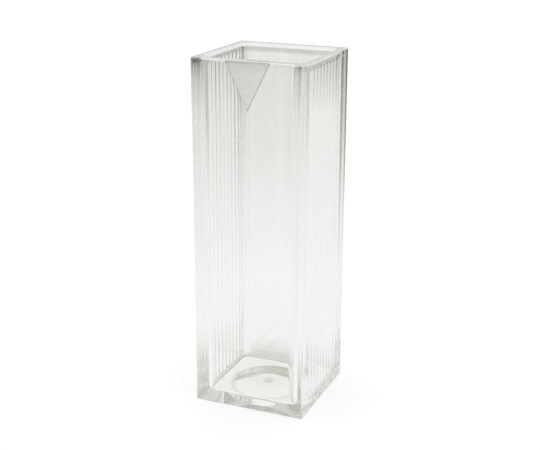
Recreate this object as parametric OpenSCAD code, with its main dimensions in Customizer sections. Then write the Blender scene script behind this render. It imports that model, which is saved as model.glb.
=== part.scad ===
// Square moulded cuvette with two clear windows, two ribbed sides and an open mouth.
// Origin at the centre of the underside, +Z up; the windows face -Y and +Y, the ribbed sides -X and +X.

/* [Body] */
// Outside width, across the two ribbed sides
body_w = 12.5; // [11.5:0.1:16]
// Outside depth, across the two windows
body_d = 12.5; // [11.5:0.1:16]
// Overall height
body_h = 38; // [25:0.5:60]
// Rounding of the four upright outer edges
upright_edge_r = 0.2; // [0.05:0.05:0.4]
// Rounding of the outer edges round the rim and the foot
rim_edge_r = 0.12; // [0.05:0.01:0.25]

/* [Sample space] */
// Inside width, between the ribbed sides
cell_w = 10.7; // [9:0.1:10.9]
// Inside depth, between the windows, which is the light path
light_path = 10; // [9:0.1:11]
// Thickness of the floor
floor_t = 1; // [0.8:0.05:3]
// Rounding of the four upright inner corners
cell_corner_r = 1; // [0.2:0.05:1.5]
// Rounding where the floor meets the ribbed sides
floor_side_r = 0.5; // [0.1:0.05:1.5]
// Rounding where the floor meets the windows
floor_window_r = 0.35; // [0.1:0.05:1.5]
// Lead-in chamfer round the mouth
mouth_chamfer = 0.35; // [0.1:0.05:0.6]

/* [Windows] */
// Width of the sunken polished field on each window
window_w = 10.1; // [6:0.1:10.5]
// Depth of the polished field below the face
window_sink = 0.08; // [0.02:0.01:0.2]
// Plain band left above the polished field
window_top_band = 0.18; // [0.15:0.01:2]
// Plain band left below the polished field
window_foot_band = 1.3; // [0.5:0.05:4]
// Rounding of the field's lower corners
window_lower_r = 0.8; // [0.2:0.05:2]
// Rounding of the field's upper corners
window_upper_r = 0.3; // [0.1:0.05:1]

/* [Mark] */
// Width of the frosted triangular mark at the top of the front window
mark_w = 4.75; // [2:0.05:8]
// Height of the mark, from the top of the polished field to its tip
mark_h = 4.85; // [2:0.05:12]
// Rounding of the mark's tip
mark_tip_r = 0.12; // [0.08:0.01:0.6]

/* [Ribs] */
// Number of upright ribs on each side
rib_count = 11; // [3:2:11]
// Distance from one rib to the next
rib_pitch = 0.94; // [0.5:0.01:1]
// Height of a rib above the valley beside it
rib_depth = 0.04; // [0.04:0.01:0.2]
// Plain band left above the ribs
rib_top_band = 0.45; // [0.2:0.05:3]
// Plain band left below the ribs
rib_foot_band = 0.5; // [0.3:0.05:3]

/* [Underside] */
// Diameter of the round dish in the underside
dish_d = 8.3; // [7:0.1:10]
// Depth of the dish at its middle
dish_depth = 0.47; // [0.1:0.01:0.6]
// Diameter of the flat middle of the dish
dish_flat_d = 3.6; // [3:0.1:6]
// Diameter of the gate mark in the middle of the dish
gate_d = 0.9; // [0.4:0.1:2]
// Height of the gate mark
gate_h = 0.12; // [0.05:0.01:0.4]

/* [Hidden] */

$fn = 96;
clear_tint = [0.9, 0.93, 0.91, 0.45];
cut_over = 0.5;

window_h = body_h - window_top_band - window_foot_band;
window_top_z = body_h - window_top_band;
rib_radius = (pow(rib_pitch / 2, 2) + pow(rib_depth, 2)) / (2 * rib_depth);
rib_field_w = rib_count * rib_pitch;
rib_top_z = body_h - rib_top_band;
rib_end = rib_pitch / 2;
dish_ball_drop = (pow(dish_d / 2, 2) - pow(dish_flat_d / 2, 2) - pow(dish_depth, 2)) / (2 * dish_depth);
dish_ball_r = sqrt(pow(dish_d / 2, 2) + pow(dish_ball_drop, 2));

// Rectangle of w by h centred on x, standing on y = 0, with its lower and upper corners rounded.
module rounded_field(w, h, lower_r, upper_r) {
    union() {
        for (side = [-1, 1]) {
            translate([side * (w / 2 - lower_r), lower_r]) circle(r = lower_r);
            translate([side * (w / 2 - upper_r), h - upper_r]) circle(r = upper_r);
        }
        translate([-w / 2, lower_r]) square([w, h - lower_r - upper_r]);
        translate([-w / 2 + lower_r, 0]) square([w - 2 * lower_r, h / 2]);
        translate([-w / 2 + upper_r, h / 2]) square([w - 2 * upper_r, h / 2]);
    }
}

// Extrudes a field drawn in x and z, through a depth d centred on the Z axis.
module across_y(d) {
    translate([0, d / 2, 0]) rotate([90, 0, 0]) linear_extrude(height = d) children();
}

// The same, with the drawn width lying along Y and the depth along X.
module across_x(w) {
    rotate([0, 0, 90]) across_y(w) children();
}

// Outer block: three rounded outlines, one seen from each direction, with their common solid kept.
module outer_block() {
    intersection() {
        translate([0, -body_d / 2, 0])
            linear_extrude(height = body_h) rounded_field(body_w, body_d, upright_edge_r, upright_edge_r);
        across_y(body_d) rounded_field(body_w, body_h, rim_edge_r, rim_edge_r);
        across_x(body_w) rounded_field(body_d, body_h, rim_edge_r, rim_edge_r);
    }
}

// Core that leaves the sample space: the same three-outline form, open through the rim.
module cell_core() {
    core_h = body_h - floor_t + cut_over;
    translate([0, 0, floor_t]) intersection() {
        translate([0, -light_path / 2, 0])
            linear_extrude(height = core_h) rounded_field(cell_w, light_path, cell_corner_r, cell_corner_r);
        across_y(light_path) rounded_field(cell_w, core_h, floor_side_r, cut_over / 2);
        across_x(cell_w) rounded_field(light_path, core_h, floor_window_r, cut_over / 2);
    }
}

// Trapezium, half_w each side at the bottom of the chamfer and flaring at 45 degrees past the rim.
module flare(half_w) {
    flare_h = mouth_chamfer + cut_over;
    polygon([[-half_w, 0], [half_w, 0], [half_w + flare_h, flare_h], [-half_w - flare_h, flare_h]]);
}

// Lead-in: two flared prisms and a cone at each corner, which follow the rounded corners of the core.
module mouth_flare() {
    post_x = cell_w / 2 - cell_corner_r;
    post_y = light_path / 2 - cell_corner_r;
    flare_h = mouth_chamfer + cut_over;
    translate([0, 0, body_h - mouth_chamfer]) {
        across_y(2 * post_y) flare(cell_w / 2);
        across_x(2 * post_x) flare(light_path / 2);
        for (x = [-post_x, post_x])
            for (y = [-post_y, post_y])
                translate([x, y, 0])
                    cylinder(h = flare_h, r1 = cell_corner_r, r2 = cell_corner_r + flare_h);
    }
}

// Outline of the mark: a triangle, point down, whose tip is an arc tangent to both sides.
module mark_outline() {
    half_angle = atan((mark_w / 2) / mark_h);
    centre_z = window_top_z - mark_h + mark_tip_r / sin(half_angle);
    touch_x = mark_tip_r * cos(half_angle);
    touch_z = centre_z - mark_tip_r * sin(half_angle);
    union() {
        translate([0, centre_z]) circle(r = mark_tip_r);
        polygon([
            [-touch_x, touch_z], [touch_x, touch_z],
            [mark_w / 2, window_top_z], [mark_w / 2, window_top_z + cut_over],
            [-mark_w / 2, window_top_z + cut_over], [-mark_w / 2, window_top_z]
        ]);
    }
}

// Sunken polished field of one window, cut into the face at -Y.
module window_cut(with_mark) {
    translate([0, -body_d / 2 + window_sink / 2 - cut_over / 2, 0])
        across_y(window_sink + cut_over)
            difference() {
                translate([0, window_foot_band])
                    rounded_field(window_w, window_h, window_lower_r, window_upper_r);
                if (with_mark) mark_outline();
            }
}

// One rib: a round bar with domed ends, whose crest is level with the side face at +X.
module rib_bar() {
    low_z = rib_foot_band + rib_end;
    translate([body_w / 2 - rib_radius, 0, low_z])
        cylinder(h = rib_top_z - rib_end - low_z, r = rib_radius);
    for (end_z = [low_z, rib_top_z - rib_end])
        translate([body_w / 2 - rib_radius, 0, end_z]) sphere(r = rib_radius);
}

// What is taken away between the ribs of the side at +X.
module rib_cut() {
    difference() {
        translate([body_w / 2 - rib_depth, -rib_field_w / 2, rib_foot_band])
            cube([rib_depth + cut_over, rib_field_w, rib_top_z - rib_foot_band]);
        for (i = [0 : rib_count - 1])
            translate([0, (i - (rib_count - 1) / 2) * rib_pitch, 0]) rib_bar();
    }
}

// Dish in the underside: the cap of a large ball, cut off flat, round the gate mark in its middle.
module dish_cut() {
    difference() {
        intersection() {
            translate([0, 0, -dish_ball_drop]) sphere(r = dish_ball_r);
            translate([0, 0, -cut_over]) cylinder(h = dish_depth + cut_over, r = dish_d / 2 + cut_over);
        }
        translate([0, 0, dish_depth - gate_h]) cylinder(h = gate_h + cut_over, r = gate_d / 2);
    }
}

module cuvette() {
    color(clear_tint)
        difference() {
            outer_block();
            cell_core();
            mouth_flare();
            window_cut(true);
            mirror([0, 1, 0]) window_cut(false);
            rib_cut();
            mirror([1, 0, 0]) rib_cut();
            dish_cut();
        }
}

cuvette();
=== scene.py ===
import math

import bpy
import numpy as np
from bpy.props import FloatProperty, FloatVectorProperty, IntProperty, PointerProperty
from bpy.types import Operator, Panel, PropertyGroup
from mathutils import Matrix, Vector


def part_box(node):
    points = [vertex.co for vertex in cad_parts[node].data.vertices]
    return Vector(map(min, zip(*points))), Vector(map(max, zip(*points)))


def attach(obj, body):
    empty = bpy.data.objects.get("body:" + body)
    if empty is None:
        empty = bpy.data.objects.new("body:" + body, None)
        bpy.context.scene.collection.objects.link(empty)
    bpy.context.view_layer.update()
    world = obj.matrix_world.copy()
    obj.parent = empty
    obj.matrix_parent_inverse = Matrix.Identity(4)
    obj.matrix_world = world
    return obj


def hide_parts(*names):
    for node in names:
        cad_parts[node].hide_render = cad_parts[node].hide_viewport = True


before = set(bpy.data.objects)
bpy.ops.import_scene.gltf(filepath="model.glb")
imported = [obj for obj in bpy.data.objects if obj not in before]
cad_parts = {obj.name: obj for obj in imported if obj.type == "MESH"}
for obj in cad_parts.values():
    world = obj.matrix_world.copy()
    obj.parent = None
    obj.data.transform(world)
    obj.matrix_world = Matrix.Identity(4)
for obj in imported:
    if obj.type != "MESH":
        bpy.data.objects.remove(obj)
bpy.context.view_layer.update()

bl_info = {
    "name": "Moulded cuvette",
    "version": (1, 0, 0),
    "blender": (4, 5, 0),
    "location": "View3D > Sidebar > Cuvette",
    "description": "Builds a clear moulded cuvette round its packed CAD model",
    "category": "Add Mesh",
}

MM = 0.001
NODE = "cuvette"
BOUNCES = 64  # as many as light may take inside the clear walls
LOW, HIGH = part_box(NODE)


def length(name, description, millimetres, lowest=0.0, highest=60.0):
    """A length property, written in millimetres and held in metres."""
    return FloatProperty(
        name=name,
        description=description,
        default=millimetres * MM,
        min=lowest * MM,
        max=highest * MM,
        precision=5,
        unit="LENGTH",
        subtype="DISTANCE",
    )


def angle(name, description, radians):
    """An angle property, held in radians."""
    return FloatProperty(
        name=name, description=description, default=radians, precision=4, unit="ROTATION",
        subtype="ANGLE",
    )


def share(name, description, default):
    """A property that runs from 0 to 1."""
    return FloatProperty(
        name=name, description=description, default=default, min=0.0, max=1.0, subtype="FACTOR",
    )


def colour_of(name, description, default):
    """A colour property."""
    return FloatVectorProperty(
        name=name, description=description, default=default, size=3, min=0.0, max=1.0,
        subtype="COLOR",
    )


class BodySizes(PropertyGroup):
    """Sizes of the moulding. The outside comes from the CAD frame."""

    body_w: length("Width", "Outside, across the ribbed sides", (HIGH[0] - LOW[0]) / MM)
    body_d: length("Depth", "Outside, across the windows", (HIGH[1] - LOW[1]) / MM)
    body_h: length("Height", "From foot to rim", (HIGH[2] - LOW[2]) / MM)
    upright_edge_r: length("Upright edges", "Rounding of the upright outer edges", 0.2)
    rim_edge_r: length("Rim edges", "Rounding of the rim's and foot's outer edges", 0.12)
    cell_w: length("Cell width", "Inside, between the ribbed sides", 10.7)
    light_path: length("Light path", "Inside, between the windows", 10.0)
    floor_t: length("Floor", "Thickness of the floor", 1.0)
    cell_corner_r: length("Cell corners", "Rounding of the upright inner corners", 1.0)
    floor_side_r: length("Floor to sides", "Rounding where the floor meets the ribbed sides", 0.5)
    floor_window_r: length("Floor to windows", "Rounding where the floor meets the windows", 0.35)
    mouth_chamfer: length("Mouth chamfer", "Lead-in round the mouth", 0.35)
    mouth_edge_r: length("Mouth edges", "Rounding of the lead-in's two edges", 0.08)
    window_w: length("Window width", "Width of the sunken polished field", 10.1)
    window_sink: length("Window sink", "Depth of the polished field", 0.08)
    window_top_band: length("Band above window", "Plain band left above the field", 0.18)
    window_foot_band: length("Band below window", "Plain band left below the field", 1.3)
    window_lower_r: length("Window lower corners", "Rounding of the field's lower corners", 0.8)
    window_upper_r: length("Window upper corners", "Rounding of the field's upper corners", 0.3)
    window_edge: length("Window edge", "Width of the slope at the field's top and round the mark", 0.08)
    window_run: length("Window run-out", "Width of the soft slope at the field's sides and foot", 0.7)
    mark_w: length("Mark width", "Width of the triangular mark at its top", 4.75)
    mark_h: length("Mark height", "From the top of the field to the mark's tip", 4.85)
    mark_tip_r: length("Mark tip", "Rounding of the mark's tip", 0.12)
    rib_count: IntProperty(name="Ribs", description="Ribs on each side", default=11, min=3, max=11)
    rib_pitch: length("Rib pitch", "From one rib to the next", 0.94)
    rib_depth: length("Rib depth", "Height of a rib above its valley", 0.04)
    rib_top_band: length("Band above ribs", "Plain band left above the ribs", 0.45)
    rib_foot_band: length("Band below ribs", "Plain band left below the ribs", 0.5)
    rib_edge: length("Rib ends", "Length over which the ribs fade out at their ends", 0.35)
    dish_d: length("Dish", "Diameter of the dish in the underside", 8.3)
    dish_depth: length("Dish depth", "Depth of the dish at its middle", 0.47)
    dish_flat_d: length("Dish middle", "Diameter of the flat middle of the dish", 3.6)
    gate_d: length("Gate mark", "Diameter of the gate mark", 0.9)
    gate_h: length("Gate height", "Height of the gate mark", 0.12)


class FinishSettings(PropertyGroup):
    """Colours and finish of the plastic."""

    tint: colour_of("Tint", "Tint of the clear plastic", (0.988, 0.992, 0.985))
    # Painted reflection: the rim and lead-in get a bluish tint that stands in for the sky they reflect.
    rim_reflection_tint: colour_of("Rim tint", "Tint of the rim and lead-in", (0.94, 0.97, 1.0))
    # The painted shade and the plastic's own darker marks both mix towards this tint.
    dark_tint: colour_of("Dark tint", "Tint that the darker places run towards", (0.04, 0.03, 0.0))
    ior: FloatProperty(name="Index", description="Refractive index", default=1.59, min=1.0, max=2.0)
    lip: share("Rim roughness", "Roughness of the rim and lead-in", 0.15)
    frost: share("Frost", "Roughness of the frosted mark", 0.5)
    grain: share("Grain", "How far the frosting's roughness varies", 0.12)
    frost_shade: share("Frost shade", "Darkness of the frosting", 0.03)
    blotch: share("Blotches", "Darkness that the frosting's blotches add", 0.07)
    # Painted shade: the outline and edge line are thin dark lines in the base colour along the steps.
    outline: share("Outline", "Darkness of the step round the mark", 0.45)
    edge_line: share("Edge line", "Darkness of the line at the window's upper edge", 0.22)
    # Painted shade: the border band darkens the cell's walls below the lead-in in the base colour.
    border: length("Border", "Height of the darkened band below the lead-in", 0.5)
    border_shade: share("Border shade", "Darkness of the band below the lead-in", 0.42)
    # Painted shade: the head and the shaded patch darken the top of the front face in the base colour, in
    # place of the lead-in's dark reflections seen through it.
    head: length("Head", "Height of the darkened top of the front face", 1.4)
    head_shade: share("Head shade", "Darkness of that top across the whole face", 0.05)
    head_mark: share("Head on mark", "Darkness that it adds on the mark", 0.2)
    head_post: share("Head on posts", "Darkness that it adds beside the window", 0.25)
    painted_patch: length("Shaded patch", "Height of the shaded patch at the top of the front's left post", 2.4)
    painted_patch_shade: share("Smudge shade", "Darkness of that patch", 0.48)
    scar_rough: share("Gate roughness", "Roughness of the gate mark", 0.3)
    scar_shade: share("Gate shade", "Darkness of the gate mark", 0.1)
    streak: share("Flow lines", "Darkness of the flow lines round the gate", 0.3)
    wave: length("Wave", "Height of the faint waves that moulding leaves", 0.0015, 0.0, 0.05)
    wave_shade: share("Wave shade", "Darkness that the waves add", 0.012)


class StageSettings(PropertyGroup):
    """Floor, background and camera."""

    floor_w: length("Floor", "Width of the floor", 2000.0, 100.0, 5000.0)
    floor_gap: length("Floor gap", "Air left under the foot, so that it stays mirror-like", 0.02)
    floor_tone: colour_of("Floor tone", "Floor as the plastic sees it", (0.93, 0.93, 0.915))
    # Painted shadow: the floor's tone behind the foot, as the plastic sees it.
    behind_tone: colour_of("Tone behind", "Floor in the shade behind the foot", (0.63, 0.625, 0.59))
    # Painted light: the floor beneath the foot is lighter, as the plastic sees it.
    beneath_tone: colour_of("Tone beneath", "Floor beneath the foot", (0.95, 0.95, 0.935))
    # Painted shadow: a darker line on the floor below the dish's edge, as the plastic sees it.
    dish_tone: colour_of("Dish tone", "The line below the dish's edge", (0.803, 0.8015, 0.7835))
    behind_reach: length("Reach behind", "How far the shade behind the foot reaches", 8.5)
    clear_from: length("Clear from", "Distance at which the plastic begins to see through the floor", 18.0)
    clear_to: length("Clear to", "Distance from which the plastic sees no floor", 35.0)
    floor_glow: share("Floor glow", "Light that the floor gives the camera by itself", 0.78)
    floor_paint: share("Floor paint", "Light that it scatters, and so loses in a shadow", 0.25)
    floor_mottle: share("Floor mottle", "How far the floor's paint varies", 0.02)
    focal: FloatProperty(name="Focal length", description="In millimetres", default=71.245, min=10.0)
    place: FloatVectorProperty(
        name="Camera", description="Place of the camera", size=3, unit="LENGTH",
        subtype="TRANSLATION", default=(0.042655, -0.101718, 0.055167),
    )
    yaw: angle("Yaw", "Turn of the camera about the vertical", -0.398)
    pitch: angle("Pitch", "Tilt of the camera below the horizon", 0.315)
    roll: angle("Roll", "Roll of the camera", 0.003)


# ---------------------------------------------------------------- surface maths

# In this part s stands for the BodySizes.

QUARTER = math.pi / 2
# Least radius of an outline's corners, and the width of the slope beyond the outermost valleys.
LEAST_R = 0.05 * MM
VALLEY_RUN = 0.08 * MM


def smooth(x):
    """Runs from 0 to 1 as x does, level at both ends: 3 x squared less 2 x cubed."""
    x = np.clip(x, 0.0, 1.0)
    return x * x * (3.0 - 2.0 * x)


def merged(*parts):
    """All stations in order, with any that lie closer than a micron to the last one dropped."""
    values = np.sort(np.concatenate([np.atleast_1d(np.asarray(p, float)) for p in parts]))
    keep = np.concatenate([[True], np.diff(values) > 1e-6])
    return values[keep]


def across(middle, width, count=7):
    """Stations across a narrow slope that is centred on middle."""
    return middle + np.linspace(-0.5, 0.5, count) * width


def rounded_box_distance(x, z, half_w, low, high, lower_r, upper_r):
    """Distance outside a rectangle with rounded corners; negative inside."""
    corner_r = np.where(z < (low + high) / 2, lower_r, upper_r)
    dx = np.abs(x) - half_w + corner_r
    dz = np.abs(z - (low + high) / 2) - (high - low) / 2 + corner_r
    outside = np.hypot(np.maximum(dx, 0), np.maximum(dz, 0))
    return outside + np.minimum(np.maximum(dx, dz), 0) - corner_r


def mark_outline(s):
    """The mark's top, the height where its two sides would meet, half its angle and its arc's centre."""
    top = s.body_h - s.window_top_band
    tip = top - s.mark_h
    half_angle = math.atan(s.mark_w / 2 / s.mark_h)
    return top, tip, half_angle, tip + s.mark_tip_r / math.sin(half_angle)


def mark_half_width(z, s):
    """Half width of the mark at height z: a line from the tip's arc up to the field's top."""
    top, _, half_angle, centre = mark_outline(s)
    touch = centre - s.mark_tip_r * math.sin(half_angle)
    line = s.mark_w / 2 - (top - z) * math.tan(half_angle)
    arc = np.sqrt(np.maximum(s.mark_tip_r**2 - (z - centre) ** 2, 0.0))
    return np.where(z > touch, np.maximum(line, 0.0), np.where(z > centre - s.mark_tip_r, arc, 0.0))


def mark_distance(x, z, s):
    """Distance outside the triangular mark, whose tip is an arc; negative inside."""
    _, _, half_angle, centre = mark_outline(s)
    along_x, along_z = math.cos(half_angle), -math.sin(half_angle)
    side = np.abs(x) * along_x + (z - centre) * along_z - s.mark_tip_r
    tip = np.hypot(x, z - centre) - s.mark_tip_r
    under = (np.abs(x) * -along_z + (z - centre) * along_x) < 0
    return np.where(under, tip, side)


def window_depth(x, z, s, marked):
    """Depth of a window's relief: the sink, inside the rounded field and outside the mark."""
    low, high = s.window_foot_band, s.body_h - s.window_top_band
    away = rounded_box_distance(
        x, z, s.window_w / 2, low, high + s.window_run / 2, s.window_lower_r, s.window_upper_r
    )
    depth = smooth(0.5 - away / s.window_run) * smooth(0.5 - (z - high) / s.window_edge)
    if marked:
        depth = depth * smooth(0.5 + mark_distance(x, z, s) / s.window_edge)
    return s.window_sink * depth


def rib_depth(y, z, s):
    """Depth of a ribbed side's relief.

    Across the side it is half of one less the cosine of a full turn per rib, so crests and
    valleys are round. The panel fades out at its ends and beyond its outermost valleys.
    """
    pitch = s.rib_pitch
    low, high = s.rib_foot_band, s.body_h - s.rib_top_band
    arc = s.rib_depth * (0.5 - 0.5 * np.cos(2 * math.pi * y / pitch))
    edge_z = np.minimum(z - low, high - z)
    edge_y = s.rib_count * pitch / 2 - np.abs(y)
    fade = smooth(edge_z / s.rib_edge) * smooth(edge_y / VALLEY_RUN + 0.5)
    return arc * fade


def column_stations(s):
    """Places of the columns on the right half of a window and along a ribbed side."""
    straight_x = s.body_w / 2 - s.upright_edge_r
    straight_y = s.body_d / 2 - s.upright_edge_r
    half = s.window_w / 2
    right = merged(
        np.linspace(half + s.window_run / 2, straight_x, 4),
        across(half, s.window_run, 9),
        half - s.window_lower_r * (1 - np.cos(np.linspace(0, QUARTER, 9))),
        np.linspace(half - s.window_lower_r, 0.6 * half, 4),
    )
    last = s.rib_count * s.rib_pitch / 2
    ribs = merged(
        np.linspace(-last, last, s.rib_count * 10 + 1),
        across(last, VALLEY_RUN, 5),
        across(-last, VALLEY_RUN, 5),
        np.linspace(last + VALLEY_RUN, straight_y, 4),
        -np.linspace(last + VALLEY_RUN, straight_y, 4),
    )
    return right, ribs, straight_x, straight_y


def window_columns(z, right, s):
    """Columns of a window at each height: fixed ones at the borders, and ones that follow the mark."""
    outer = right[right > s.mark_w / 2 + 0.4 * MM]
    half = np.maximum(mark_half_width(z, s), 0.12 * MM)[:, None]
    across_edge = np.linspace(-0.5, 0.5, 7)[None, :] * np.minimum(s.window_edge, half)
    start = half + s.window_edge / 2
    between = start + (outer[0] - start) * np.linspace(0, 1, 6)[None, 1:-1]
    inside = (half - np.minimum(s.window_edge, half) / 2) * np.linspace(0, 1, 5)[None, :-1]
    plus = np.concatenate(
        [inside, half + across_edge, between, np.broadcast_to(outer, (len(z), len(outer)))], axis=1
    )
    return np.concatenate([-plus[:, :0:-1], plus], axis=1)


def height_stations(s):
    """Heights of the rows up the outer faces, closer together where the relief changes."""
    edge = s.window_edge
    low, high = s.window_foot_band, s.body_h - s.window_top_band
    tip = high - s.mark_h
    rib_low, rib_high = s.rib_foot_band, s.body_h - s.rib_top_band
    return merged(
        [s.rim_edge_r, s.body_h - s.rim_edge_r],
        across(low, s.window_run, 9), across(high, edge),
        low + s.window_lower_r * (1 - np.cos(np.linspace(0, QUARTER, 10))),
        np.linspace(tip - 0.1 * MM, tip + 0.55 * MM, 14),
        np.linspace(tip + 0.55 * MM, high - edge, 10),
        np.linspace(low + s.window_lower_r, tip - 0.1 * MM, 14),
        rib_low + np.linspace(0, s.rib_edge, 14), rib_high - np.linspace(0, s.rib_edge, 14),
    )


class Columns:
    """Places of the grid's columns, as many on every row.

    Places along a side are shares, from -1 to 1, of its straight part. Those along a window
    differ from row to row, because they follow the mark.
    """

    def __init__(self, s):
        right, ribs, straight_x, straight_y = column_stations(s)
        self.heights = height_stations(s)
        self.window = window_columns(self.heights, right, s) / straight_x
        self.even = np.linspace(-1, 1, self.window.shape[1])
        self.side = ribs / straight_y
        self.turns = np.linspace(0, QUARTER, 11)[1:-1]

    def ring(self, cols_x, half_w, half_d, corner_r):
        """One outline: four straight sides and four rounded corners, anticlockwise from above.

        cols_x are the places along the windows. Returns x, y and the outward normal of each
        column.
        """
        cols_y = self.side
        px, py = half_w - corner_r, half_d - corner_r
        ones_x, ones_y = np.ones_like(cols_x), np.ones_like(cols_y)
        sides = [
            (cols_x * px, -half_d * ones_x, 0 * ones_x, -ones_x),
            (half_w * ones_y, cols_y * py, ones_y, 0 * ones_y),
            (-cols_x * px, half_d * ones_x, 0 * ones_x, ones_x),
            (-half_w * ones_y, -cols_y * py, -ones_y, 0 * ones_y),
        ]
        centres = [(px, -py), (px, py), (-px, py), (-px, -py)]
        out = []
        for i, (side, (cx, cy)) in enumerate(zip(sides, centres)):
            out.append(side)
            turn = self.turns + (i - 1) * QUARTER
            nx, ny = np.cos(turn), np.sin(turn)
            out.append((cx + corner_r * nx, cy + corner_r * ny, nx, ny))
        return [np.concatenate(part) for part in zip(*out)]

    def level_row(self, cols_x, half_w, half_d, corner_r, level):
        """The points of one outline, all at one height."""
        x, y, _, _ = self.ring(cols_x, half_w, half_d, corner_r)
        return row(x, y, level)


def row(x, y, level):
    """One row of points. The height is one number, or one for each column."""
    return np.stack([x, y, np.broadcast_to(level, np.shape(x))], axis=-1)


def underside(s, columns):
    """Rows from the middle of the underside out over the dish and the flat of the foot.

    The dish is the lower of a ball's cap and its level middle, with a soft corner between them:
    half of the sum of both, less the root of their difference squared plus a small length
    squared. The gate mark hangs down from the middle.
    """
    inset = s.rim_edge_r
    foot_x, foot_y, _, _ = columns.ring(
        columns.window[0], s.body_w / 2 - inset, s.body_d / 2 - inset,
        max(s.upright_edge_r - inset, LEAST_R),
    )
    turn = np.unwrap(np.arctan2(foot_y, foot_x))
    even = np.arange(len(turn)) * 2 * math.pi / len(turn)
    turn = even + (turn - even).mean()
    gate, flat, rim = s.gate_d / 2, s.dish_flat_d / 2, s.dish_d / 2
    middle, rim_gap, soft = 0.03 * MM, 0.03 * MM, 0.01 * MM
    drop = (rim**2 - flat**2 - s.dish_depth**2) / (2 * s.dish_depth)
    reach = merged(
        [middle], np.linspace(2 * middle, gate, 12), np.linspace(gate, flat - 0.2 * MM, 6),
        across(flat, 0.3 * MM, 9), np.linspace(flat + 0.2 * MM, rim, 14), [rim + rim_gap],
    )
    cap = np.sqrt(rim**2 + drop**2 - np.minimum(reach, rim) ** 2) - drop
    level_part = s.dish_depth - s.gate_h * smooth(1 - reach / gate)
    bowl = (cap + level_part - np.sqrt((cap - level_part) ** 2 + soft**2)) / 2
    bowl = np.where(reach > rim, 0.0, bowl)
    rows = [row(r * np.cos(turn), r * np.sin(turn), level) for r, level in zip(reach, bowl)]
    start_x, start_y = rim * 1.01 * np.cos(turn), rim * 1.01 * np.sin(turn)
    for part in (0.05, 0.3, 0.65, 0.95):
        rows.append(row(start_x * (1 - part) + foot_x * part, start_y * (1 - part) + foot_y * part, 0.0))
    return rows


def round_edge(s, columns, cols_x, bends, level):
    """Rows of a quarter round, from 0 at the outer face to a right angle at the end face."""
    rows = []
    for bend in bends:
        inset = s.rim_edge_r * (1 - math.cos(bend))
        rows.append(columns.level_row(
            cols_x, s.body_w / 2 - inset, s.body_d / 2 - inset,
            max(s.upright_edge_r - inset, LEAST_R), level(s.rim_edge_r * (1 - math.sin(bend))),
        ))
    return rows


def outer_faces(s, columns):
    """Rows up the outside, where each point is moved in by the depth of its face's relief."""
    rows = []
    for cols_x, level in zip(columns.window, columns.heights):
        x, y, nx, ny = columns.ring(cols_x, s.body_w / 2, s.body_d / 2, s.upright_edge_r)
        depth = np.zeros_like(x)
        front = ny < -0.999
        back = ny > 0.999
        sides = np.abs(nx) > 0.999
        depth[front] = window_depth(x[front], level, s, True)
        depth[back] = window_depth(x[back], level, s, False)
        depth[sides] = rib_depth(y[sides], level, s)
        rows.append(row(x - nx * depth, y - ny * depth, level))
    return rows


def rim_and_lead_in(s, columns):
    """Rows in over the flat of the rim and down the lead-in, whose two edges are rounded."""
    half_w, half_d, height = s.body_w / 2, s.body_d / 2, s.body_h
    wall_w, wall_d = (s.body_w - s.cell_w) / 2, (s.body_d - s.light_path) / 2
    c, e = s.mouth_chamfer, s.mouth_edge_r
    t = e * math.tan(math.pi / 8)
    start, start_r = s.rim_edge_r + 0.02 * MM, 0.1 * MM
    rows = []
    for part in (0.0, 0.5, 0.97):
        rows.append(columns.level_row(
            columns.window[-1] * (1 - part) + columns.even * part,
            half_w - (start + (wall_w - c - t - start) * part),
            half_d - (start + (wall_d - c - t - start) * part),
            start_r + (s.cell_corner_r + c + t - start_r) * part,
            height,
        ))
    bends = np.linspace(0, math.pi / 4, 4)
    upper = [(c + t - e * math.sin(b), height - e * (1 - math.cos(b))) for b in bends]
    lower = [
        (e * (1 - math.cos(math.pi / 4 - b)), height - c - t + e * math.sin(math.pi / 4 - b))
        for b in bends
    ]
    for out, level in upper + lower:
        rows.append(columns.level_row(
            columns.even, s.cell_w / 2 + out, s.light_path / 2 + out, s.cell_corner_r + out, level,
        ))
    return rows


def cell(s, columns):
    """Rows down the cell's walls, round the fillet and in to the middle of its floor.

    The fillet's radius is that of the ribbed sides times the normal's x squared, plus that of
    the windows times its y squared.
    """
    x, y, nx, ny = columns.ring(columns.even, s.cell_w / 2, s.light_path / 2, s.cell_corner_r)
    fillet = s.floor_side_r * nx**2 + s.floor_window_r * ny**2
    start = s.floor_t + fillet
    top = s.body_h - s.mouth_chamfer - s.mouth_edge_r * math.tan(math.pi / 8) - 0.05 * MM
    rows = [row(x, y, top + (start - top) * part) for part in (0.0, 0.25, 0.5, 0.75, 0.995)]
    for bend in np.linspace(0, QUARTER, 9):
        inset = np.minimum(fillet * (1 - math.cos(bend)), s.cell_corner_r)
        rows.append(row(x - nx * inset, y - ny * inset, s.floor_t + fillet * (1 - math.sin(bend))))
    last = rows[-1]
    rows += [last * np.array([1 - part, 1 - part, 1.0]) for part in (0.02, 0.3, 0.6, 0.9)]
    return rows


def body_grid(s):
    """The whole moulding as one closed grid: an array of rows by columns by three.

    Columns run round the outline. Rows run from the middle of the underside, out over the foot,
    up the outside, over the rim, down the cell's walls and in to the middle of its floor.
    """
    columns = Columns(s)
    bends = np.linspace(0, QUARTER, 7)[1:]
    return np.stack([
        *underside(s, columns),
        *round_edge(s, columns, columns.window[0], bends[::-1], lambda up: up),
        *outer_faces(s, columns),
        *round_edge(s, columns, columns.window[-1], bends, lambda down: s.body_h - down),
        *rim_and_lead_in(s, columns),
        *cell(s, columns),
    ])


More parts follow.
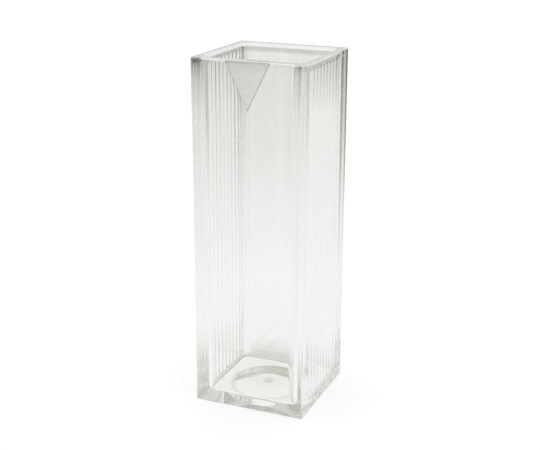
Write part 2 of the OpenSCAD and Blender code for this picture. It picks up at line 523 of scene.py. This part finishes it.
def closed_grid_mesh(name, grid):
    """A mesh from a grid whose columns close on themselves, with a point at each end of the rows."""
    count_rows, count_cols, _ = grid.shape
    first = grid[0].mean(axis=0)
    last = grid[-1].mean(axis=0)
    points = np.concatenate([grid.reshape(-1, 3), [first, last]])
    r, c = np.meshgrid(np.arange(count_rows - 1), np.arange(count_cols), indexing="ij")
    n = (c + 1) % count_cols
    quads = np.stack(
        [r * count_cols + c, r * count_cols + n, (r + 1) * count_cols + n, (r + 1) * count_cols + c],
        axis=-1,
    ).reshape(-1, 4)
    i = np.arange(count_cols)
    j = (i + 1) % count_cols
    first_point = np.full(count_cols, count_rows * count_cols)
    last_row = (count_rows - 1) * count_cols
    start_fan = np.stack([first_point, j, i], axis=-1)
    end_fan = np.stack([last_row + i, last_row + j, first_point + 1], axis=-1)
    mesh = bpy.data.meshes.new(name)
    mesh.vertices.add(len(points))
    mesh.vertices.foreach_set("co", points.astype(np.float32).ravel())
    loops = np.concatenate([quads.ravel(), start_fan.ravel(), end_fan.ravel()])
    sizes = np.concatenate([np.full(len(quads), 4), np.full(2 * count_cols, 3)])
    mesh.loops.add(len(loops))
    mesh.loops.foreach_set("vertex_index", loops.astype(np.int32))
    mesh.polygons.add(len(sizes))
    mesh.polygons.foreach_set(
        "loop_start", np.concatenate([[0], np.cumsum(sizes)[:-1]]).astype(np.int32)
    )
    mesh.update(calc_edges=True)
    mesh.validate()
    return mesh


def smooth_by_area(mesh):
    """Smooth normals, each face counted by its area, so that the flats stay flat."""
    count = len(mesh.polygons)
    normal = np.empty(count * 3)
    area = np.empty(count)
    total = np.empty(count, dtype=np.int32)
    mesh.polygons.foreach_get("normal", normal)
    mesh.polygons.foreach_get("area", area)
    mesh.polygons.foreach_get("loop_total", total)
    verts = np.empty(len(mesh.loops), dtype=np.int32)
    mesh.loops.foreach_get("vertex_index", verts)
    weighted = np.repeat(normal.reshape(-1, 3) * area[:, None], total, axis=0)
    summed = np.zeros((len(mesh.vertices), 3))
    for axis in range(3):
        summed[:, axis] = np.bincount(verts, weights=weighted[:, axis], minlength=len(summed))
    summed /= np.maximum(np.linalg.norm(summed, axis=1, keepdims=True), 1e-20)
    mesh.shade_smooth()
    mesh.normals_split_custom_set_from_vertices(summed.tolist())


# ---------------------------------------------------------------- shader maths


class Field:
    """A shader value that takes part in Python expressions; each operation adds a Math node."""

    def __init__(self, tree, socket):
        self.tree = tree
        self.socket = socket

    def node(self, kind, settings=None, **inputs):
        """Adds any node: its settings first, then its sockets, each given a value or a Field.

        A ramp's stops are a setting too: places from 0 to 1, each with its colour.
        """
        made = self.tree.nodes.new(kind)
        for key, value in (settings or {}).items():
            if key == "stops":
                self.set_stops(made.color_ramp.elements, value)
            else:
                setattr(made, key, value)
        for key, value in inputs.items():
            number = key[1:]
            socket = made.inputs[int(number) if number.isdigit() else key.replace("_", " ")]
            if isinstance(value, Field):
                self.tree.links.new(value.socket, socket)
            else:
                socket.default_value = value
        return made

    def set_stops(self, elements, stops):
        """Gives a new ramp its stops. It has two to begin with, and the first is kept."""
        elements.remove(elements[-1])
        for i, (place, colour) in enumerate(stops):
            stop = elements[0] if i == 0 else elements.new(place)
            stop.position = place
            stop.color = colour

    def out(self, made, name=0):
        """One output of a node, as a Field."""
        return Field(self.tree, made.outputs[name])

    def math(self, operation, *values):
        """The result of a Math node with these values."""
        inputs = {"i%d" % i: value for i, value in enumerate(values)}
        return self.out(self.node("ShaderNodeMath", {"operation": operation}, **inputs))

    def __add__(self, other):
        return self.math("ADD", self, other)

    def __sub__(self, other):
        return self.math("SUBTRACT", self, other)

    def __rsub__(self, other):
        return self.math("SUBTRACT", other, self)

    def __mul__(self, other):
        return self.math("MULTIPLY", self, other)

    def __pow__(self, other):
        return self.math("POWER", self, other)

    def __neg__(self):
        return self.math("MULTIPLY", self, -1.0)

    def __abs__(self):
        return self.math("ABSOLUTE", self)

    __radd__ = __add__
    __rmul__ = __mul__

    def at_most(self, other):
        """The smaller of the two values."""
        return self.math("MINIMUM", self, other)

    def at_least(self, other):
        """The larger of the two values."""
        return self.math("MAXIMUM", self, other)

    def step(self, start, end):
        """Runs smoothly from 0 at start to 1 at end."""
        return self.out(self.node(
            "ShaderNodeMapRange", {"interpolation_type": "SMOOTHSTEP"},
            Value=self, From_Min=start, From_Max=end,
        ))

    def colour(self, without, full):
        """Mixes two colours: the first where this value is 0, the second where it is 1.

        A Mix node's colour sockets are its inputs 6 and 7 and its output 2.
        """
        made = self.node("ShaderNodeMix", {"data_type": "RGBA"}, Factor=self, i6=without, i7=full)
        return self.out(made, 2)


def new_tree(data):
    """Switches a material or world to nodes and empties its tree. Returns a Field to work from."""
    data.use_nodes = True
    data.node_tree.nodes.clear()
    return Field(data.node_tree, None)


def coordinates(start, kind="Object"):
    """The three coordinates and the whole vector."""
    place = start.out(start.node("ShaderNodeTexCoord"), kind)
    split = start.node("ShaderNodeSeparateXYZ", None, Vector=place)
    return start.out(split, 0), start.out(split, 1), start.out(split, 2), place


def grey(value):
    """A grey with full alpha."""
    return (value, value, value, 1.0)


def solid(tone):
    """A colour with full alpha."""
    return (*tone, 1.0)


def noise(start, vector, **inputs):
    """A noise texture's value at each place."""
    return start.out(start.node("ShaderNodeTexNoise", None, Vector=vector, **inputs))


# Noise textures. A scale is how many patches lie along a metre or, for the flow lines, along the
# length of a direction, which is 1. The stretch draws the waves out upright.
GRAINS = {"Scale": 9000.0, "Detail": 2.0, "Roughness": 0.6}
BLOTCHES = {"Scale": 1600.0, "Detail": 2.0, "Roughness": 0.6}
WAVES = {"Scale": 450.0, "Detail": 1.0, "Roughness": 0.4}
WAVE_STRETCH = 0.15
FLOW_LINES = {"Scale": 5.0, "Detail": 3.0, "Roughness": 0.6}
MOTTLES = {"Scale": 60.0, "Detail": 3.0}


def mark_masks(x, y, z, body):
    """Four masks: front face, mark, and painted shade lines on the mark's step and the window's upper edge.
    """
    top, tip, half_angle, _ = mark_outline(body)
    outside, soft, line_w, edge_w = body.body_d / 2, 0.03 * MM, 0.07 * MM, 0.14 * MM
    side = (z - tip) * math.sin(half_angle) - abs(x) * math.cos(half_angle)
    inside = side.at_most(body.body_h - body.rim_edge_r - z)
    face = (-y).step(outside - 0.2 * MM, outside - 0.15 * MM)
    mark = inside.step(-soft, soft) * face
    # Painted shade lines along the step round the mark and the window's upper edge.
    line = abs(inside).step(line_w, 0.02 * MM) * face * (z - tip).step(-0.1 * MM, 0.0)
    edge = abs(z - top + 0.05 * MM).step(edge_w, 0.06 * MM) * face
    edge = edge * abs(x).step(body.window_w / 2, body.window_w / 2 - 0.3 * MM)
    return face, mark, line, edge


def mouth_masks(x, y, z, body, finish):
    """Two masks: the rim with its lead-in, and a band of painted shade on the cell's walls below it.

    The band is left out at the front.
    """
    mouth = body.body_h - body.mouth_chamfer
    half = body.body_w / 2
    from_middle = abs(x).at_least(abs(y))
    lip = z.step(mouth - 0.06 * MM, mouth) * from_middle.step(half - 0.04 * MM, half - 0.1 * MM)
    # A band of painted shade on the cell's walls below the lead-in.
    band = z.step(mouth - finish.border * 1.4, mouth - finish.border * 0.6)
    band = band * z.step(mouth + 0.05 * MM, mouth - 0.03 * MM)
    band = band * from_middle.step(half - 0.4 * MM, half - 0.5 * MM)
    band = band * y.step(0.1 * MM - body.light_path / 2, 0.7 * MM - body.light_path / 2)
    return lip, band


def front_shade(x, z, face, mark, body, finish):
    """Painted shade on the front face's top, in place of the lead-in's dark reflections seen through it.

    It is slight all over, more on the mark and beside the window, and most at the left.
    """
    post = abs(x).step(body.window_w / 2 - 0.1 * MM, body.window_w / 2 + 0.1 * MM)
    amount = post * finish.head_post + mark * finish.head_mark + finish.head_shade
    head = z.step(body.body_h - finish.head, body.body_h) * amount
    # Painted shade patch at the top of the front's left post.
    painted_patch = z.step(body.body_h - finish.painted_patch, body.body_h) * post * x.step(0.1 * MM, -0.1 * MM)
    return (head + painted_patch * finish.painted_patch_shade) * face


def gate_masks(start, x, y, z, place, body):
    """Two masks: the gate mark, and the flow lines that run outwards from it.

    The flow lines are noise that depends only on the direction from the middle.
    """
    reach = (x * x + y * y) ** 0.5
    scar = reach.step(body.gate_d * 1.1, body.gate_d * 0.2) * z.step(body.floor_t * 1.2, body.floor_t * 1.1)
    flat = start.node("ShaderNodeMapping", None, Vector=place, Scale=(1.0, 1.0, 0.0))
    turn = start.node("ShaderNodeVectorMath", {"operation": "NORMALIZE"}, i0=start.out(flat))
    lines = noise(start, start.out(turn), **FLOW_LINES)
    lines = lines.step(0.4, 0.85) * reach.step(body.dish_d / 2, body.gate_d / 2)
    lines = lines * z.step(body.floor_t * 0.9, body.floor_t * 0.8)
    return scar, lines


def clear_plastic(body, finish):
    """Clear polished plastic, frosted inside the triangular mark on the front window.

    The frosting has grain and blotches. The step round it and the window's upper edge get thin
    lines of painted shade. The gate mark is rough, with faint flow lines round it. The cell's walls
    get a band of painted shade below the lead-in, except at the front, where the outer face gets
    painted shade near its top instead, most of all at its left. The rim and lead-in get a bluish
    tint of painted reflection. The whole surface keeps the faint upright waves of a moulding.
    """
    material = bpy.data.materials.new("clear_plastic")
    start = new_tree(material)
    x, y, z, place = coordinates(start)
    face, mark, line, edge = mark_masks(x, y, z, body)
    lip, band = mouth_masks(x, y, z, body, finish)
    scar, lines = gate_masks(start, x, y, z, place, body)
    grain = noise(start, place, **GRAINS)
    blotch = noise(start, place, **BLOTCHES)
    stretch = start.node("ShaderNodeMapping", None, Vector=place, Scale=(1.0, 1.0, WAVE_STRETCH))
    wave = noise(start, start.out(stretch), **WAVES)
    rough = mark * (finish.frost - finish.grain + grain * (2 * finish.grain))
    rough = rough.at_least(scar * finish.scar_rough).at_least(lip * finish.lip)
    # Painted shade: outline, edge line, band and the front's top; the frosting, waves, gate mark and flow
    # lines are the plastic's own tone.
    shade = line * finish.outline + edge * finish.edge_line + band * finish.border_shade
    shade = shade + wave * finish.wave_shade + front_shade(x, z, face, mark, body, finish)
    shade = shade + mark * (blotch.step(0.35, 0.65) * finish.blotch + finish.frost_shade)
    shade = shade + scar * finish.scar_shade + lines * finish.streak
    # Painted reflection: bluish tint on the rim and lead-in.
    plain = lip.colour(solid(finish.tint), solid(finish.rim_reflection_tint))
    tone = shade.colour(plain, solid(finish.dark_tint))
    bump = start.node("ShaderNodeBump", None, Strength=1.0, Distance=finish.wave, Height=wave)
    shader = start.node(
        "ShaderNodeBsdfPrincipled", None, Base_Color=tone, Roughness=rough,
        IOR=finish.ior, Transmission_Weight=1.0, Normal=start.out(bump),
    )
    start.node("ShaderNodeOutputMaterial", None, Surface=start.out(shader))
    return material


def white_floor(body, stage):
    """A white floor. The camera sees it lit, with the object's soft shadow.

    The plastic sees its tones instead: light, with painted shadow in a patch behind the foot, painted
    light beneath it and a painted shadow line below the dish's edge. Far from the foot the plastic
    sees through it, to the room.
    """
    material = bpy.data.materials.new("floor_white")
    start = new_tree(material)
    path = start.node("ShaderNodeLightPath")
    seen = start.out(path, "Is Camera Ray")
    x, y, _, place = coordinates(start)
    half, soft = body.body_w / 2, 2 * MM
    # Painted light beneath the foot.
    beneath = abs(x).at_least(abs(y)).step(half + 0.35 * MM, half - 0.45 * MM)
    # Painted shadow in a patch behind the foot.
    behind = y.step(half + stage.behind_reach, half) * y.step(half - soft, half)
    behind = behind * abs(x).step(half + soft, half - soft)
    tone = behind.colour(solid(stage.floor_tone), solid(stage.behind_tone))
    reach = start.out(start.node("ShaderNodeVectorMath", {"operation": "LENGTH"}, i0=place), "Value")
    rim = body.dish_d / 2
    # Painted shadow line below the dish's edge.
    dish_line = reach.step(rim - 0.5 * MM, rim) * reach.step(rim + 0.4 * MM, rim)
    under = dish_line.colour(solid(stage.beneath_tone), solid(stage.dish_tone))
    tone = beneath.colour(tone, under)
    mottle = noise(start, place, **MOTTLES)
    lit = seen * (stage.floor_paint + mottle * stage.floor_mottle)
    paint = start.node("ShaderNodeBsdfDiffuse", None, Color=lit.colour(grey(0.0), grey(1.0)))
    glow = start.node("ShaderNodeEmission", None, Color=seen.colour(tone, grey(stage.floor_glow)))
    both = start.node("ShaderNodeAddShader", None, i0=start.out(paint), i1=start.out(glow))
    near = seen.at_least(reach.step(stage.clear_to, stage.clear_from))
    clear = start.node("ShaderNodeBsdfTransparent")
    floor = start.node("ShaderNodeMixShader", None, i0=near, i1=start.out(clear), i2=start.out(both))
    start.node("ShaderNodeOutputMaterial", None, Surface=start.out(floor))
    return material


# Brightness of the room by height above the horizon, in degrees. Rear is away from the camera.
REAR_LEFT = ((-90, 0.88), (-21, 0.95), (-17, 0.93), (-12, 0.93), (-10, 0.9), (-8.5, 0.87), (-7, 0.76),
             (-3, 0.66), (6, 0.62), (16, 0.58), (27, 0.48), (90, 0.5))
REAR_RIGHT = ((-90, 0.88), (-21, 0.9), (-17, 0.87), (-12, 0.84), (-10, 0.56), (-8, 0.2), (-3, 0.06),
              (6, 0.4), (27, 0.62), (90, 0.62))
LEFT = ((-90, 0.88), (-17, 0.9), (-14, 0.78), (-12, 0.62), (-9, 0.55), (-5, 0.56), (6, 0.66),
        (27, 0.72), (45, 0.53), (90, 0.6))
RIGHT = ((-90, 0.88), (-17, 0.86), (-13, 0.85), (-10, 0.48), (-8, 0.38), (6, 0.62), (27, 0.88),
         (90, 0.86))
FRONT_LEFT = ((-90, 0.88), (-21, 0.88), (-17, 0.6), (-14, 0.16), (-12, 0.05), (-8, 0.03), (-3, 0.28),
              (6, 0.47), (27, 0.6), (90, 0.6))
FRONT_RIGHT = ((-90, 0.88), (-21, 0.84), (-17, 0.58), (-13, 0.26), (-9, 0.1), (-3, 0.22), (6, 0.42),
               (27, 0.6), (90, 0.6))


# Where one part of the room gives way to the next: values of the direction's x, then of its y.
REAR_SPLIT, SIDE_SPLIT, FRONT_SPLIT = (-0.03, 0.2), (-0.2, 0.2), (-0.15, 0.15)
REAR_TO_SIDES, SIDES_TO_FRONT = (0.75, 0.45), (-0.7, -0.87)


def room_stops(levels):
    """A ramp's stops from heights in degrees and brightnesses.

    Darker tones are warmer, and so is all that lies above the floor's far part.
    """
    stops = []
    for degrees, value in levels:
        dark = 1 - value
        less_blue = (0.02 if degrees > -16 else 0.002) + 0.15 * dark
        colour = (value * (1 - 0.035 * dark), value, value * (1 - less_blue), 1.0)
        stops.append(((degrees + 90) / 180, colour))
    return stops


def studio_world():
    """White to the camera. To the plastic, a pale room whose brightness depends on the direction."""
    world = bpy.data.worlds.new("studio")
    start = new_tree(world)
    path = start.node("ShaderNodeLightPath")
    side, away, up, _ = coordinates(start, "Generated")
    level = up.math("ARCSINE", up) * (1 / math.pi) + 0.5

    def tones(levels):
        """The tone of one part of the room at each height."""
        return start.out(start.node("ShaderNodeValToRGB", {"stops": room_stops(levels)}, Fac=level))

    rear = side.step(*REAR_SPLIT).colour(tones(REAR_LEFT), tones(REAR_RIGHT))
    sides = side.step(*SIDE_SPLIT).colour(tones(LEFT), tones(RIGHT))
    room = away.step(*REAR_TO_SIDES).colour(rear, sides)
    front = side.step(*FRONT_SPLIT).colour(tones(FRONT_LEFT), tones(FRONT_RIGHT))
    room = away.step(*SIDES_TO_FRONT).colour(room, front)
    clear = start.out(path, "Is Glossy Ray").at_least(start.out(path, "Is Transmission Ray"))
    light = start.node("ShaderNodeBackground", None, Color=clear.colour(grey(1.0), room))
    start.node("ShaderNodeOutputWorld", None, Surface=start.out(light))
    return world


def camera_matrix(place, yaw, pitch, roll):
    """The camera's place and axes, from a turn about the vertical, a tilt down and a small roll."""
    forward = np.array([math.sin(yaw) * math.cos(pitch), math.cos(yaw) * math.cos(pitch), -math.sin(pitch)])
    right = np.array([math.cos(yaw), -math.sin(yaw), 0.0])
    up = np.cross(right, forward)
    r = right * math.cos(roll) + up * math.sin(roll)
    u = up * math.cos(roll) - right * math.sin(roll)
    return Matrix([[r[i], u[i], -forward[i], place[i]] for i in range(3)] + [[0, 0, 0, 1]])


# ---------------------------------------------------------------- operators


class CUVETTE_OT_body(Operator):
    """Build the clear moulding over its CAD node"""

    bl_idname = "cuvette.body"
    bl_label = "Moulding"

    def execute(self, context):
        sizes, finish = context.scene.cuvette_body, context.scene.cuvette_finish
        mesh = closed_grid_mesh("moulding", body_grid(sizes))
        smooth_by_area(mesh)
        mesh.materials.append(clear_plastic(sizes, finish))
        piece = bpy.data.objects.new("moulding", mesh)
        context.scene.collection.objects.link(piece)
        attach(piece, "root")
        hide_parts(NODE)
        return {"FINISHED"}


class CUVETTE_OT_stage(Operator):
    """Make the floor, the background and the camera"""

    bl_idname = "cuvette.stage"
    bl_label = "Stage"

    def execute(self, context):
        scene = context.scene
        stage = scene.cuvette_stage
        half, low = stage.floor_w / 2, -stage.floor_gap
        mesh = bpy.data.meshes.new("floor")
        corners = [(-half, -half, low), (half, -half, low), (half, half, low), (-half, half, low)]
        mesh.from_pydata(corners, [], [(0, 1, 2, 3)])
        mesh.materials.append(white_floor(scene.cuvette_body, stage))
        floor = bpy.data.objects.new("floor", mesh)
        scene.collection.objects.link(floor)
        scene.world = studio_world()
        data = bpy.data.cameras.new("camera")
        data.sensor_width = 36.0
        data.lens = stage.focal
        data.clip_start = 0.001
        data.clip_end = 100.0
        camera = bpy.data.objects.new("camera", data)
        scene.collection.objects.link(camera)
        camera.matrix_world = camera_matrix(stage.place, stage.yaw, stage.pitch, stage.roll)
        scene.camera = camera
        scene.view_settings.view_transform = "Standard"
        for kind in ("max_bounces", "transmission_bounces", "glossy_bounces"):
            setattr(scene.cycles, kind, BOUNCES)
        return {"FINISHED"}


class CUVETTE_PT_panel(Panel):
    """Sizes, finish and stage of the cuvette"""

    bl_idname = "CUVETTE_PT_panel"
    bl_label = "Cuvette"
    bl_space_type = "VIEW_3D"
    bl_region_type = "UI"
    bl_category = "Cuvette"

    def draw(self, context):
        layout = self.layout
        scene = context.scene
        for group in (scene.cuvette_body, scene.cuvette_finish, scene.cuvette_stage):
            box = layout.box()
            for name in group.bl_rna.properties.keys():
                if name not in ("rna_type", "name"):
                    box.prop(group, name)
        layout.operator(CUVETTE_OT_body.bl_idname)
        layout.operator(CUVETTE_OT_stage.bl_idname)


CLASSES = (BodySizes, FinishSettings, StageSettings, CUVETTE_OT_body, CUVETTE_OT_stage, CUVETTE_PT_panel)


def register():
    """Adds the classes and their settings."""
    for item in CLASSES:
        bpy.utils.register_class(item)
    bpy.types.Scene.cuvette_body = PointerProperty(type=BodySizes)
    bpy.types.Scene.cuvette_finish = PointerProperty(type=FinishSettings)
    bpy.types.Scene.cuvette_stage = PointerProperty(type=StageSettings)


def unregister():
    """Takes away what register added."""
    del bpy.types.Scene.cuvette_stage
    del bpy.types.Scene.cuvette_finish
    del bpy.types.Scene.cuvette_body
    for item in reversed(CLASSES):
        bpy.utils.unregister_class(item)


def main():
    """Builds the moulding and its stage."""
    register()
    bpy.ops.cuvette.body()
    bpy.ops.cuvette.stage()
    bpy.context.view_layer.update()


if __name__ == "__main__":
    main()
